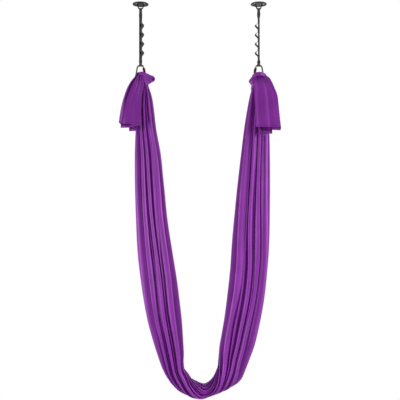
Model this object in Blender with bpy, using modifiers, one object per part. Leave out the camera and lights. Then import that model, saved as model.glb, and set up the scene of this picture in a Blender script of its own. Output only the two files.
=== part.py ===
"""Aerial silks hung as a sling: ceiling anchors, daisy-chain straps, carabiners and knotted cloth.

Metres, +Z up. The origin lies on the ceiling plane, midway between the two anchors.
+X runs to the right anchor and +Y points away from the viewer.
"""
import math

import bmesh
import bpy
from mathutils import Matrix, Vector

# Driving dimensions

FIT_GAP = 0.0003
CUT_OVERRUN = 0.002
ANCHOR_SPACING = 0.827

# Ceiling plate and its screws
PLATE_RADIUS = 0.056
PLATE_THICKNESS = 0.006
PLATE_EDGE = 0.0015
SCREW_CIRCLE_RADIUS = 0.041
SCREW_COUNT = 4
SCREW_SHANK_RADIUS = 0.003
SCREW_HEAD_RADIUS = 0.0062
SCREW_HEAD_HEIGHT = 0.0035
SCREW_CROWN_RADIUS_SHARE = 0.75
SCREW_CROWN_START_SHARE = 0.5
SCREW_CROWN_END_SHARE = 0.9
SCREW_DRIVE_RADIUS = 0.0025
SCREW_DRIVE_DEPTH = 0.0018

# Anchor eye, a bent rod welded under the plate
EYE_ROD_RADIUS = 0.004
EYE_BEND_RADIUS = 0.017
EYE_TOP_HALF_WIDTH = 0.021
EYE_DEPTH = 0.036
EYE_STRAIGHT_SHARE = 0.4

# Daisy-chain strap
WEB_WIDTH = 0.025
WEB_END_WIDTH = 0.014
WEB_THICKNESS = 0.0022
POCKET_COUNT = 4
POCKET_PITCH = 0.064
POCKET_DEPTH = 0.023
FIRST_TACK_DROP = 0.121
LAST_LOOP_DROP = 0.047
TACK_HEIGHT = 0.012
TACK_THICKNESS = 0.0009
LEFT_STRAP_TWIST = math.radians(45)
RIGHT_STRAP_TWIST = math.radians(-70)

# Carabiner, pear shaped with its narrow end up
CARABINER_ROD_RADIUS = 0.0056
CARABINER_TOP_BEND = 0.024
CARABINER_BOTTOM_BEND = 0.032
CARABINER_LENGTH = 0.116
HINGE_ANGLE = math.radians(40)
GATE_RADIUS = 0.0052
NOSE_LENGTH = 0.0081
NOSE_GAP = 0.0005
TONGUE_THICKNESS = 0.0040
HINGE_CUT_SHARE = 1.5
FORK_DEPTH_SHARE = 1.2
RIVET_RADIUS = 0.0016
RIVET_LENGTH_SHARE = 0.97
SLEEVE_RADIUS = 0.0092
SLEEVE_START = 0.0125
SLEEVE_SHORTFALL = 0.0035
SLEEVE_TRAVEL = 0.010
SLEEVE_FLUTES = 12
SLEEVE_FLUTE_DEPTH = 0.0007
SPRING_WIRE_RADIUS = 0.00035
SPRING_RADIUS = 0.0014
SPRING_TURNS = 9
SPRING_LENGTH_SHARE = 0.32
PLUNGER_LENGTH = 0.006
GATE_OPEN_ANGLE = math.radians(22)

# Silk, whose knots reach above and below the low end of the carabiners
KNOT_RISE = 0.0665
KNOT_FALL = 0.022
KNOT_DEPTH = 0.148
KNOT_SET_FORWARD = 0.020
KNOT_FOLDS = 10
KNOT_FOLD_SHARE = 0.08
SLING_DROP = 2.238
SLING_SAG_SHARE = 0.2
SLING_WIDTH = 0.250
SLING_DEPTH = 0.120
SLING_FOLDS = 11
SLING_FOLD_SHARE = 0.22
SLING_SET_BACK = 0.026
TAIL_WIDTH = 0.160
TAIL_DEPTH = 0.050
TAIL_DROP = 0.292
TAIL_STEP = 0.050
TAIL_STEP_START_SHARE = 0.5
TAIL_FOLDS = 8
TAIL_FOLD_SHARE = 0.28
TAIL_SET_FORWARD = 0.068
GATE_SLOT_CLEARANCE = 0.0015

# The sling from the left knot round to the right one: height below the knots as a share of the
# sling's drop, sideways place as a share of half the anchor spacing, and the bundle's width
# and depth as shares of its largest.
SLING_STATIONS_SHARE = (
    (0.000, -0.935, 0.32, 0.52),
    (0.050, -0.915, 0.44, 0.66),
    (0.120, -0.900, 0.58, 0.78),
    (0.210, -0.875, 0.78, 0.88),
    (0.310, -0.848, 0.86, 0.95),
    (0.430, -0.800, 0.92, 1.00),
    (0.550, -0.733, 0.95, 1.00),
    (0.660, -0.665, 0.97, 1.02),
    (0.750, -0.598, 0.95, 1.05),
    (0.830, -0.520, 0.82, 1.10),
    (0.900, -0.408, 0.64, 1.20),
    (0.948, -0.255, 0.51, 1.30),
    (0.976, -0.095, 0.44, 1.36),
    (0.983, 0.045, 0.42, 1.38),
    (0.976, 0.190, 0.45, 1.36),
    (0.944, 0.350, 0.55, 1.28),
    (0.888, 0.480, 0.68, 1.16),
    (0.810, 0.590, 0.84, 1.06),
    (0.730, 0.680, 0.97, 1.00),
    (0.640, 0.762, 1.02, 1.00),
    (0.530, 0.838, 1.05, 1.00),
    (0.420, 0.890, 1.02, 0.98),
    (0.300, 0.928, 0.92, 0.95),
    (0.200, 0.955, 0.84, 0.86),
    (0.115, 0.968, 0.66, 0.76),
    (0.050, 0.960, 0.48, 0.64),
    (0.000, 0.950, 0.34, 0.52),
)
# A knot from its top down: height share, centre and half width as shares of the tail's width
# measured outwards from the anchor's line, and depth share.
LEFT_KNOT_STATIONS_SHARE = (
    (0.00, -0.09, 0.135, 0.50),
    (0.14, -0.13, 0.300, 0.74),
    (0.34, -0.18, 0.435, 0.92),
    (0.56, -0.15, 0.500, 1.00),
    (0.78, -0.02, 0.520, 1.00),
    (1.00, 0.11, 0.430, 0.94),
)
RIGHT_KNOT_STATIONS_SHARE = (
    (0.00, 0.02, 0.200, 0.50),
    (0.14, 0.03, 0.330, 0.74),
    (0.34, 0.06, 0.460, 0.92),
    (0.56, 0.06, 0.500, 1.00),
    (0.78, 0.12, 0.470, 1.00),
    (1.00, 0.17, 0.440, 0.94),
)
# A tail from the knot down to its hem: height share, centre and half width as shares of the
# tail's width, measured outwards from the anchor's line, and depth share.
LEFT_TAIL_STATIONS_SHARE = (
    (0.00, 0.16, 0.37, 0.80),
    (0.20, 0.27, 0.44, 0.92),
    (0.45, 0.37, 0.47, 1.00),
    (0.75, 0.44, 0.49, 1.00),
    (1.00, 0.48, 0.50, 1.00),
)
RIGHT_TAIL_STATIONS_SHARE = (
    (0.00, 0.21, 0.38, 0.80),
    (0.20, 0.33, 0.45, 0.92),
    (0.45, 0.36, 0.50, 1.00),
    (0.75, 0.38, 0.52, 1.00),
    (1.00, 0.41, 0.55, 1.00),
)

# Places that follow from the driving dimensions

ANCHOR_X = ANCHOR_SPACING / 2
TACK_PLACES = [-FIRST_TACK_DROP - POCKET_PITCH * index for index in range(POCKET_COUNT + 1)]
CARABINER_TOP = TACK_PLACES[-1] - LAST_LOOP_DROP
CARABINER_LOW = CARABINER_TOP - CARABINER_LENGTH
KNOT_TOP = CARABINER_LOW + KNOT_RISE
KNOT_BOTTOM = CARABINER_LOW - KNOT_FALL
EYE_ROD_Z = -PLATE_THICKNESS - EYE_DEPTH + EYE_ROD_RADIUS
EYE_SAGITTA = (
    EYE_BEND_RADIUS
    - EYE_ROD_RADIUS
    - math.sqrt((EYE_BEND_RADIUS - EYE_ROD_RADIUS) ** 2 - (WEB_END_WIDTH / 2) ** 2)
)
TOP_CENTRE_Z = CARABINER_TOP - CARABINER_ROD_RADIUS - CARABINER_TOP_BEND
TOP_ROD_Z = TOP_CENTRE_Z + CARABINER_TOP_BEND
BOTTOM_CENTRE_Z = CARABINER_LOW + CARABINER_ROD_RADIUS + CARABINER_BOTTOM_BEND
CARABINER_INNER = CARABINER_TOP_BEND - CARABINER_ROD_RADIUS
CARABINER_SAGITTA = CARABINER_INNER - math.sqrt(CARABINER_INNER**2 - (WEB_END_WIDTH / 2) ** 2)
HINGE_X = CARABINER_TOP_BEND * math.cos(HINGE_ANGLE)
HINGE_Z = TOP_CENTRE_Z + CARABINER_TOP_BEND * math.sin(HINGE_ANGLE)
HINGE_REACH = math.hypot(HINGE_X, HINGE_Z - BOTTOM_CENTRE_Z)
NOSE_ANGLE = math.atan2(HINGE_Z - BOTTOM_CENTRE_Z, HINGE_X) - math.acos(
    CARABINER_BOTTOM_BEND / HINGE_REACH
)
GATE_DIRECTION = Vector((math.sin(NOSE_ANGLE), 0, -math.cos(NOSE_ANGLE)))
NOSE_REACH = math.sqrt(HINGE_REACH**2 - CARABINER_BOTTOM_BEND**2)
GATE_LENGTH = NOSE_REACH - NOSE_LENGTH - NOSE_GAP
SLEEVE_LENGTH = GATE_LENGTH - SLEEVE_START - SLEEVE_SHORTFALL
SPRING_LENGTH = GATE_LENGTH * SPRING_LENGTH_SHARE
HINGE_POINT = Vector((HINGE_X, 0, HINGE_Z))
SPINE_LEAN = math.asin(
    (CARABINER_BOTTOM_BEND - CARABINER_TOP_BEND) / (TOP_CENTRE_Z - BOTTOM_CENTRE_Z)
)
HINGE_CUT_RADIUS = GATE_RADIUS * HINGE_CUT_SHARE
FORK_DEPTH = CARABINER_ROD_RADIUS * FORK_DEPTH_SHARE
SLEEVE_BORE = CARABINER_ROD_RADIUS + FIT_GAP
SIDES = (("left", -1, LEFT_STRAP_TWIST), ("right", 1, RIGHT_STRAP_TWIST))


# Scene helpers

for old in list(bpy.data.objects):
    bpy.data.objects.remove(old, do_unlink=True)

parts = bpy.data.collections.new("aerial_silks")
cutters = bpy.data.collections.new("cutters")
for group in (parts, cutters):
    bpy.context.scene.collection.children.link(group)


def material(name, colour, roughness, metallic=0.0):
    made = bpy.data.materials.new(name)
    made.use_nodes = True
    shader = made.node_tree.nodes["Principled BSDF"]
    shader.inputs["Base Color"].default_value = (*colour, 1)
    shader.inputs["Roughness"].default_value = roughness
    shader.inputs["Metallic"].default_value = metallic
    made.diffuse_color = (*colour, 1)
    return made


def keep(obj, name, finish):
    """Name an object, give it its material and put it in the parts collection."""
    obj.name = name
    obj.data.name = name
    obj.data.materials.clear()
    obj.data.materials.append(finish)
    for owner in list(obj.users_collection):
        owner.objects.unlink(obj)
    parts.objects.link(obj)
    return obj


def shade(obj, angle=math.radians(35)):
    obj.data.shade_smooth()
    obj.data.set_sharp_from_angle(angle=angle)
    return obj


def own_finish(finish, name):
    made = finish.copy()
    made.name = name
    return made


def mesh_object(name, mesh_builder):
    mesh = bpy.data.meshes.new(name)
    bm = bmesh.new()
    mesh_builder(bm)
    bmesh.ops.recalc_face_normals(bm, faces=bm.faces)
    bm.to_mesh(mesh)
    bm.free()
    obj = bpy.data.objects.new(name, mesh)
    bpy.context.scene.collection.objects.link(obj)
    return obj


def rod(name, start, end, radius, segments=24, end_radius=None):
    """A straight round rod or cone between two points."""
    axis = end - start
    place = Matrix.Translation((start + end) / 2) @ axis.to_track_quat("Z", "Y").to_matrix().to_4x4()

    def build(bm):
        bmesh.ops.create_cone(
            bm,
            cap_ends=True,
            segments=segments,
            radius1=radius,
            radius2=radius if end_radius is None else end_radius,
            depth=axis.length,
            matrix=place,
        )

    return mesh_object(name, build)


def box(name, centre, size, turn=0.0):
    """A block centred on a point and turned about Y."""
    place = Matrix.Translation(centre) @ Matrix.Rotation(turn, 4, "Y") @ Matrix.Diagonal((*size, 1))

    def build(bm):
        bmesh.ops.create_cube(bm, size=1, matrix=place)

    return mesh_object(name, build)


def baked(obj):
    """Turn an object with a curve or modifiers into a plain mesh with welded caps."""
    graph = bpy.context.evaluated_depsgraph_get()
    mesh = bpy.data.meshes.new_from_object(obj.evaluated_get(graph))
    bm = bmesh.new()
    bm.from_mesh(mesh)
    bmesh.ops.remove_doubles(bm, verts=bm.verts, dist=0.00001)
    bmesh.ops.recalc_face_normals(bm, faces=bm.faces)
    bm.to_mesh(mesh)
    bm.free()
    solid = bpy.data.objects.new(obj.name + "_mesh", mesh)
    solid.matrix_world = obj.matrix_world.copy()
    bpy.context.scene.collection.objects.link(solid)
    bpy.data.objects.remove(obj, do_unlink=True)
    return solid


def bent_rod(name, points, radius, resolution=4):
    """A tube along points, with filled ends."""
    curve = bpy.data.curves.new(name, "CURVE")
    curve.dimensions = "3D"
    curve.bevel_depth = radius
    curve.bevel_resolution = resolution
    curve.use_fill_caps = True
    line = curve.splines.new("POLY")
    line.points.add(len(points) - 1)
    for place, point in zip(line.points, points):
        place.co = (*point, 1)
    obj = bpy.data.objects.new(name, curve)
    bpy.context.scene.collection.objects.link(obj)
    return obj


def combine(obj, tool, operation):
    """Apply a Boolean; the tool stays behind as a hidden wire object."""
    step = obj.modifiers.new(operation.lower(), "BOOLEAN")
    step.operation = operation
    step.solver = "EXACT"
    step.object = tool
    result = baked(obj)
    for owner in list(tool.users_collection):
        owner.objects.unlink(tool)
    cutters.objects.link(tool)
    tool.display_type = "WIRE"
    tool.hide_render = True
    return result


def move_origin(obj, point):
    """Set the object's origin on a point, such as a joint's axis, without moving its shape."""
    obj.data.transform(Matrix.Translation(-point) @ obj.matrix_world)
    obj.matrix_world = Matrix.Translation(point)
    return obj


def smooth_row(rows, share):
    """Read a table of rows at a share of its length, through a smooth curve."""
    last = len(rows) - 1
    at = share * last
    index = min(int(at), last - 1)
    part = at - index
    before, start, end, after = (rows[max(0, min(last, index + step))] for step in (-1, 0, 1, 2))
    return tuple(
        0.5 * (2 * b + (c - a) * part + (2 * a - 5 * b + 4 * c - d) * part**2
               + (3 * b - a - 3 * c + d) * part**3)
        for a, b, c, d in zip(before, start, end, after)
    )


def at(side, inward, y, z):
    """A point measured inwards from one anchor's vertical line."""
    return Vector((side * (ANCHOR_X - inward), y, z))


def turned(name, profile, steps, place):
    """Turn a profile of (radius, height), listed from top to bottom, about its own Z axis."""
    mesh = bpy.data.meshes.new(name)
    edges = [(index, index + 1) for index in range(len(profile) - 1)]
    mesh.from_pydata([(radius, 0, height) for radius, height in profile], edges, [])
    obj = bpy.data.objects.new(name, mesh)
    bpy.context.scene.collection.objects.link(obj)
    obj.matrix_world = place
    screw = obj.modifiers.new("turn", "SCREW")
    screw.steps = steps
    screw.render_steps = steps
    screw.use_merge_vertices = True
    screw.merge_threshold = 0.00001
    screw.use_smooth_shade = True
    return baked(obj)


def half_circle(radius, steps):
    """Points of a half circle above its centre, from +X round to -X."""
    turns = [math.pi * step / steps for step in range(steps + 1)]
    return [(radius * math.cos(turn), radius * math.sin(turn)) for turn in turns]


# Finishes

black_steel = material("powder_coated_steel", (0.015, 0.015, 0.014), 0.45, 0.4)
zinc_steel = material("zinc_plated_steel", (0.30, 0.31, 0.31), 0.35, 1.0)
webbing = material("polyester_webbing", (0.020, 0.020, 0.021), 0.85)
stitching = material("bonded_thread", (0.045, 0.045, 0.045), 0.8)
forged_steel = material("forged_steel", (0.21, 0.23, 0.22), 0.32, 1.0)
red_alloy = material("red_anodised_aluminium", (0.10, 0.008, 0.012), 0.35, 0.9)
silk_cloth = material("nylon_tricot", (0.195, 0.032, 0.270), 0.55)


# Ceiling anchors


def screw_places(side):
    for index in range(SCREW_COUNT):
        angle = 2 * math.pi * (index + 0.5) / SCREW_COUNT
        yield index, Vector((
            side * ANCHOR_X + SCREW_CIRCLE_RADIUS * math.cos(angle),
            SCREW_CIRCLE_RADIUS * math.sin(angle),
            0,
        ))


def make_plate(word, side):
    centre = Vector((side * ANCHOR_X, 0, 0))
    plate = rod("plate", centre - Vector((0, 0, PLATE_THICKNESS)), centre, PLATE_RADIUS, 48)
    edge = plate.modifiers.new("edge", "BEVEL")
    edge.width = PLATE_EDGE
    edge.segments = 2
    edge.limit_method = "ANGLE"
    plate = baked(plate)
    for index, place in screw_places(side):
        low = place - Vector((0, 0, PLATE_THICKNESS + CUT_OVERRUN))
        high = place + Vector((0, 0, CUT_OVERRUN))
        hole = rod(f"{word}_screw_hole_{index}", low, high, SCREW_SHANK_RADIUS + FIT_GAP, 16)
        plate = combine(plate, hole, "DIFFERENCE")
    keep(shade(plate), f"{word}_ceiling_plate", own_finish(black_steel, f"{word}_plate_steel"))


def make_screws(word, side):
    under = -PLATE_THICKNESS - FIT_GAP
    profile = [
        (0, 0),
        (SCREW_SHANK_RADIUS, 0),
        (SCREW_SHANK_RADIUS, under),
        (SCREW_HEAD_RADIUS, under),
        (SCREW_HEAD_RADIUS, under - SCREW_HEAD_HEIGHT * SCREW_CROWN_START_SHARE),
        (
            SCREW_HEAD_RADIUS * SCREW_CROWN_RADIUS_SHARE,
            under - SCREW_HEAD_HEIGHT * SCREW_CROWN_END_SHARE,
        ),
        (SCREW_DRIVE_RADIUS, under - SCREW_HEAD_HEIGHT),
        (SCREW_DRIVE_RADIUS, under - SCREW_HEAD_HEIGHT + SCREW_DRIVE_DEPTH),
        (0, under - SCREW_HEAD_HEIGHT + SCREW_DRIVE_DEPTH),
    ]
    for index, place in screw_places(side):
        screw = turned("screw", profile, 16, Matrix.Translation(place))
        finish = own_finish(zinc_steel, f"{word}_screw_{index + 1}_zinc")
        keep(shade(screw), f"{word}_plate_screw_{index + 1}", finish)


def make_eye(word, side):
    bend_z = EYE_ROD_Z + EYE_BEND_RADIUS
    weld_z = -PLATE_THICKNESS - FIT_GAP
    straight = (weld_z - bend_z) * EYE_STRAIGHT_SHARE
    half = [(EYE_TOP_HALF_WIDTH, weld_z), (EYE_TOP_HALF_WIDTH, weld_z - straight)]
    bend = [(x, bend_z - z) for x, z in half_circle(EYE_BEND_RADIUS, 12)]
    path = half + bend + [(-x, z) for x, z in reversed(half)]
    points = [Vector((side * ANCHOR_X + x, 0, z)) for x, z in path]
    eye = baked(bent_rod("eye", points, EYE_ROD_RADIUS))
    keep(shade(eye), f"{word}_anchor_eye", own_finish(black_steel, f"{word}_eye_steel"))


# Daisy-chain strap

STRAND_OFFSET = (WEB_THICKNESS + FIT_GAP) / 2
EYE_LOOP_RADIUS = EYE_ROD_RADIUS + EYE_SAGITTA + FIT_GAP + WEB_THICKNESS / 2
CARABINER_LOOP_RADIUS = CARABINER_ROD_RADIUS + CARABINER_SAGITTA + FIT_GAP + WEB_THICKNESS / 2
POCKET_MARGIN = TACK_HEIGHT / 2 + 3 * FIT_GAP


def eased(share):
    share = max(0.0, min(1.0, share))
    return share * share * (3 - 2 * share)


def strap_spread(z):
    """Half the distance between the two strands where no pocket stands out."""
    first = TACK_PLACES[0] + TACK_HEIGHT
    last = TACK_PLACES[-1] - TACK_HEIGHT
    top_share = eased((z - first) / (EYE_ROD_Z - first))
    low_share = eased((last - z) / (last - TOP_ROD_Z))
    return (
        STRAND_OFFSET
        + (EYE_LOOP_RADIUS - STRAND_OFFSET) * top_share
        + (CARABINER_LOOP_RADIUS - STRAND_OFFSET) * low_share
    )


def strap_set(z):
    """How fully the strap is turned and laid out flat: 0 in its end loops and 1 at its tacks."""
    top = EYE_ROD_Z - EYE_LOOP_RADIUS
    low = TOP_ROD_Z + CARABINER_LOOP_RADIUS
    first = TACK_PLACES[0] + TACK_HEIGHT
    last = TACK_PLACES[-1] - TACK_HEIGHT
    return eased((top - z) / (top - first)) * eased((z - low) / (last - low))


def strap_path():
    """The closed loop of webbing as (offset towards the pockets, height)."""
    steps = 10
    path = [(-x, EYE_ROD_Z + z) for x, z in half_circle(EYE_LOOP_RADIUS, steps)]
    lead = 18
    top_run = [EYE_ROD_Z + (TACK_PLACES[0] - EYE_ROD_Z) * i / lead for i in range(1, lead)]
    low_run = [TACK_PLACES[-1] + (TOP_ROD_Z - TACK_PLACES[-1]) * i / lead for i in range(1, lead)]
    path += [(strap_spread(z), z) for z in top_run]
    for index, z in enumerate(TACK_PLACES):
        path += [(STRAND_OFFSET, z + POCKET_MARGIN), (STRAND_OFFSET, z - POCKET_MARGIN)]
        if index < POCKET_COUNT:
            start = z - POCKET_MARGIN
            span = POCKET_PITCH - 2 * POCKET_MARGIN
            path += [
                (STRAND_OFFSET + POCKET_DEPTH * math.sin(math.pi * i / steps), start - span * i / steps)
                for i in range(1, steps)
            ]
    path += [(strap_spread(z), z) for z in low_run]
    path += [(x, TOP_ROD_Z - z) for x, z in half_circle(CARABINER_LOOP_RADIUS, steps)]
    path += [(-strap_spread(z), z) for z in reversed(low_run)]
    path += [(-STRAND_OFFSET, z) for z in reversed(TACK_PLACES)]
    path += [(-strap_spread(z), z) for z in reversed(top_run)]
    return path


def strap_point(side, twist, across, offset, z):
    angle = twist * strap_set(z)
    return Vector((
        side * ANCHOR_X + across * math.cos(angle) + offset * math.sin(angle),
        across * math.sin(angle) - offset * math.cos(angle),
        z,
    ))


def make_strap(word, side, twist):
    path = strap_path()
    count = len(path)

    def build(bm):
        rings = []
        for index, (offset, z) in enumerate(path):
            before = path[index - 1]
            after = path[(index + 1) % count]
            along = Vector((after[0] - before[0], after[1] - before[1])).normalized()
            out = Vector((-along.y, along.x)) * WEB_THICKNESS / 2
            half = (WEB_END_WIDTH + (WEB_WIDTH - WEB_END_WIDTH) * strap_set(z)) / 2
            corners = ((-half, -1), (half, -1), (half, 1), (-half, 1))
            rings.append([
                bm.verts.new(
                    strap_point(side, twist, across, offset + out.x * way, z)
                    + Vector((0, 0, out.y * way))
                )
                for across, way in corners
            ])
        for index in range(count):
            ring, after = rings[index], rings[(index + 1) % count]
            for corner in range(4):
                follow = (corner + 1) % 4
                bm.faces.new((ring[corner], ring[follow], after[follow], after[corner]))

    strap = mesh_object("strap", build)
    move_origin(strap, Vector((side * ANCHOR_X, 0, EYE_ROD_Z)))
    keep(strap, f"{word}_daisy_chain_strap", own_finish(webbing, f"{word}_strap_webbing"))


def make_tacks(word, side, twist):
    inner_width = WEB_WIDTH / 2 + FIT_GAP
    inner_depth = STRAND_OFFSET + WEB_THICKNESS / 2 + FIT_GAP
    for index, z in enumerate(TACK_PLACES):
        curve = bpy.data.curves.new("tack", "CURVE")
        curve.dimensions = "2D"
        curve.fill_mode = "BOTH"
        curve.extrude = TACK_HEIGHT / 2
        for grow in (TACK_THICKNESS, 0):
            half_width = inner_width + grow
            half_depth = inner_depth + grow
            line = curve.splines.new("POLY")
            line.points.add(3)
            line.use_cyclic_u = True
            for place, (x, y) in zip(line.points, ((-1, -1), (1, -1), (1, 1), (-1, 1))):
                place.co = (x * half_width, y * half_depth, 0, 1)
        tack = bpy.data.objects.new("tack", curve)
        bpy.context.scene.collection.objects.link(tack)
        place = Matrix.Translation((side * ANCHOR_X, 0, z))
        tack.matrix_world = place @ Matrix.Rotation(twist, 4, "Z")
        tack = baked(tack)
        finish = own_finish(stitching, f"{word}_tack_{index + 1}_thread")
        keep(tack, f"{word}_bar_tack_{index + 1}", finish)


# Carabiner


def arc(radius, centre_z, start, end, steps=16):
    return [
        (
            radius * math.cos(start + (end - start) * i / steps),
            centre_z + radius * math.sin(start + (end - start) * i / steps),
        )
        for i in range(steps + 1)
    ]


def basket_path():
    """The frame's centre line from its nose round the wide bottom to the foot of the spine."""
    nose = HINGE_POINT + GATE_DIRECTION * (GATE_LENGTH + NOSE_GAP)
    bend = arc(CARABINER_BOTTOM_BEND, BOTTOM_CENTRE_Z, NOSE_ANGLE, -math.pi - SPINE_LEAN)
    return [(nose.x, nose.z)] + bend


def crown_path():
    """The frame's centre line from the top of the spine over the narrow end to the gate hinge."""
    return arc(CARABINER_TOP_BEND, TOP_CENTRE_Z, math.pi - SPINE_LEAN, HINGE_ANGLE)


def gate_point(side, distance, y=0.0):
    local = HINGE_POINT + GATE_DIRECTION * distance
    return at(side, local.x, y, local.z)


def make_frame(word, side):
    points = [at(side, x, 0, z) for x, z in basket_path() + crown_path()]
    frame = baked(bent_rod("frame", points, CARABINER_ROD_RADIUS))
    reach = CARABINER_ROD_RADIUS + CUT_OVERRUN
    for way in (-1, 1):
        near = gate_point(side, 0, way * TONGUE_THICKNESS / 2)
        far = gate_point(side, 0, way * reach)
        cut = rod(f"{word}_tongue_cut_{way}", near, far, HINGE_CUT_RADIUS, 32)
        frame = combine(frame, cut, "DIFFERENCE")
    low = gate_point(side, 0, -reach)
    high = gate_point(side, 0, reach)
    hole = rod(f"{word}_rivet_hole", low, high, RIVET_RADIUS + FIT_GAP, 16)
    frame = combine(frame, hole, "DIFFERENCE")
    keep(shade(frame), f"{word}_carabiner_frame", own_finish(forged_steel, f"{word}_frame_steel"))


def gate_matrix(side):
    """Local -Z runs down the gate from its hinge and local Y is the rivet's axis."""
    lean = math.atan2(side * GATE_DIRECTION.x, -GATE_DIRECTION.z)
    return Matrix.Translation(gate_point(side, 0)) @ Matrix.Rotation(lean, 4, "Y")


BORE_RADIUS = SPRING_RADIUS + SPRING_WIRE_RADIUS + FIT_GAP
BORE_END = FORK_DEPTH + PLUNGER_LENGTH + SPRING_LENGTH


def make_gate(word, side):
    steps = 6
    turns = [math.pi / 2 * step / steps for step in range(steps + 1)]
    dome = [(GATE_RADIUS * math.sin(turn), GATE_RADIUS * math.cos(turn)) for turn in turns]
    profile = dome + [(GATE_RADIUS, -GATE_LENGTH), (0, -GATE_LENGTH)]
    place = gate_matrix(side)
    gate = turned("gate", profile, 24, place)
    reach = GATE_RADIUS + CUT_OVERRUN
    slot = mesh_object(
        f"{word}_fork_slot",
        lambda bm: bmesh.ops.create_cube(
            bm,
            size=1,
            matrix=place
            @ Matrix.Translation((0, 0, (reach - FORK_DEPTH) / 2))
            @ Matrix.Diagonal((2 * reach, TONGUE_THICKNESS + 2 * FIT_GAP, reach + FORK_DEPTH, 1)),
        ),
    )
    gate = combine(gate, slot, "DIFFERENCE")
    low = gate_point(side, 0, -reach)
    high = gate_point(side, 0, reach)
    hole = rod(f"{word}_gate_hole", low, high, RIVET_RADIUS + FIT_GAP, 16)
    gate = combine(gate, hole, "DIFFERENCE")
    bore_start = gate_point(side, FORK_DEPTH - CUT_OVERRUN)
    bore = rod(f"{word}_spring_bore", bore_start, gate_point(side, BORE_END), BORE_RADIUS, 16)
    gate = combine(gate, bore, "DIFFERENCE")
    move_origin(gate, gate_point(side, 0))
    keep(shade(gate), f"{word}_carabiner_gate", own_finish(forged_steel, f"{word}_gate_steel"))


def make_rivet(word, side):
    half = GATE_RADIUS * RIVET_LENGTH_SHARE
    rivet = rod("rivet", gate_point(side, 0, -half), gate_point(side, 0, half), RIVET_RADIUS, 16)
    keep(shade(rivet), f"{word}_gate_rivet", own_finish(zinc_steel, f"{word}_rivet_zinc"))


def make_plunger(word, side):
    start = gate_point(side, FORK_DEPTH - CUT_OVERRUN / 2)
    end = gate_point(side, FORK_DEPTH + PLUNGER_LENGTH)
    plunger = rod("plunger", start, end, SPRING_RADIUS, 16)
    keep(shade(plunger), f"{word}_gate_plunger", own_finish(zinc_steel, f"{word}_plunger_zinc"))


def make_spring(word, side):
    start = FORK_DEPTH + PLUNGER_LENGTH + SPRING_WIRE_RADIUS + FIT_GAP
    length = SPRING_LENGTH - 2 * (SPRING_WIRE_RADIUS + FIT_GAP)
    turn_steps = 10
    count = SPRING_TURNS * turn_steps
    place = gate_matrix(side)
    points = [
        place @ Vector((
            SPRING_RADIUS * math.cos(2 * math.pi * i / turn_steps),
            SPRING_RADIUS * math.sin(2 * math.pi * i / turn_steps),
            -start - length * i / count,
        ))
        for i in range(count + 1)
    ]
    spring = baked(bent_rod("spring", points, SPRING_WIRE_RADIUS, 0))
    keep(spring, f"{word}_gate_spring", own_finish(zinc_steel, f"{word}_spring_steel"))


def make_sleeve(word, side):
    start = gate_point(side, SLEEVE_START)
    end = gate_point(side, SLEEVE_START + SLEEVE_LENGTH)
    sleeve = rod("sleeve", start, end, SLEEVE_RADIUS, 2 * SLEEVE_FLUTES)
    axis = (end - start).normalized()
    for index, corner in enumerate(sleeve.data.vertices):
        from_axis = corner.co - start - axis * (corner.co - start).dot(axis)
        if index // 2 % 2:
            corner.co -= from_axis.normalized() * SLEEVE_FLUTE_DEPTH
    overrun = axis * CUT_OVERRUN
    bore = rod(f"{word}_sleeve_bore", start - overrun, end + overrun, SLEEVE_BORE, 32)
    sleeve = combine(sleeve, bore, "DIFFERENCE")
    move_origin(sleeve, start)
    keep(shade(sleeve), f"{word}_screw_sleeve", own_finish(red_alloy, f"{word}_sleeve_alloy"))


# Silk


def bundle(name, rings, folds, fold_share):
    """Loft gathered cloth through rings of (centre, across, through), with one ridge a fold."""
    around = 2 * folds

    def build(bm):
        made = []
        for centre, across, through, drift in rings:
            ring = []
            for index in range(around):
                angle = 2 * math.pi * index / around + drift
                reach = 1 - fold_share * (index % 2)
                spoke = across * math.cos(angle) + through * math.sin(angle)
                ring.append(bm.verts.new(centre + spoke * reach))
            made.append(ring)
        for ring, after in zip(made, made[1:]):
            for index in range(around):
                follow = (index + 1) % around
                bm.faces.new((ring[index], ring[follow], after[follow], after[index]))
        bm.faces.new(made[0])
        bm.faces.new(made[-1])

    return mesh_object(name, build)


def make_sling():
    count = 52
    probe_share = 0.01
    top = KNOT_BOTTOM - FIT_GAP
    drop = SLING_DROP - SLING_WIDTH * SLING_SAG_SHARE

    def station(share):
        height, sideways, width, depth = smooth_row(SLING_STATIONS_SHARE, share)
        return Vector((sideways * ANCHOR_X, SLING_SET_BACK, top - height * drop)), width, depth

    rings = []
    for index in range(count + 1):
        share = index / count
        centre, width, depth = station(share)
        along = station(min(1, share + probe_share))[0] - station(max(0, share - probe_share))[0]
        if index in (0, count):
            along = Vector((0, 0, along.z))
        across = Vector((0, 1, 0)).cross(along).normalized() * SLING_WIDTH * width / 2
        rings.append((centre, across, Vector((0, SLING_DEPTH * depth / 2, 0)), 0.0))
    sling = bundle("sling", rings, SLING_FOLDS, SLING_FOLD_SHARE)
    keep(sling, "silk_sling", own_finish(silk_cloth, "sling_tricot"))


def side_rings(side, rows, top, height, depth, forward, count, lean=0.0):
    rings = []
    for index in range(count + 1):
        drop, outward, half, deep = smooth_row(rows, index / count)
        centre = at(side, -outward * TAIL_WIDTH, -forward, top - drop * height)
        across = Vector((half * TAIL_WIDTH, 0, 0))
        step = max(0, index / count - TAIL_STEP_START_SHARE)
        through = Vector((0, depth * deep / 2, -lean * step))
        rings.append((centre, across, through, 0.0))
    return rings


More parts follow.
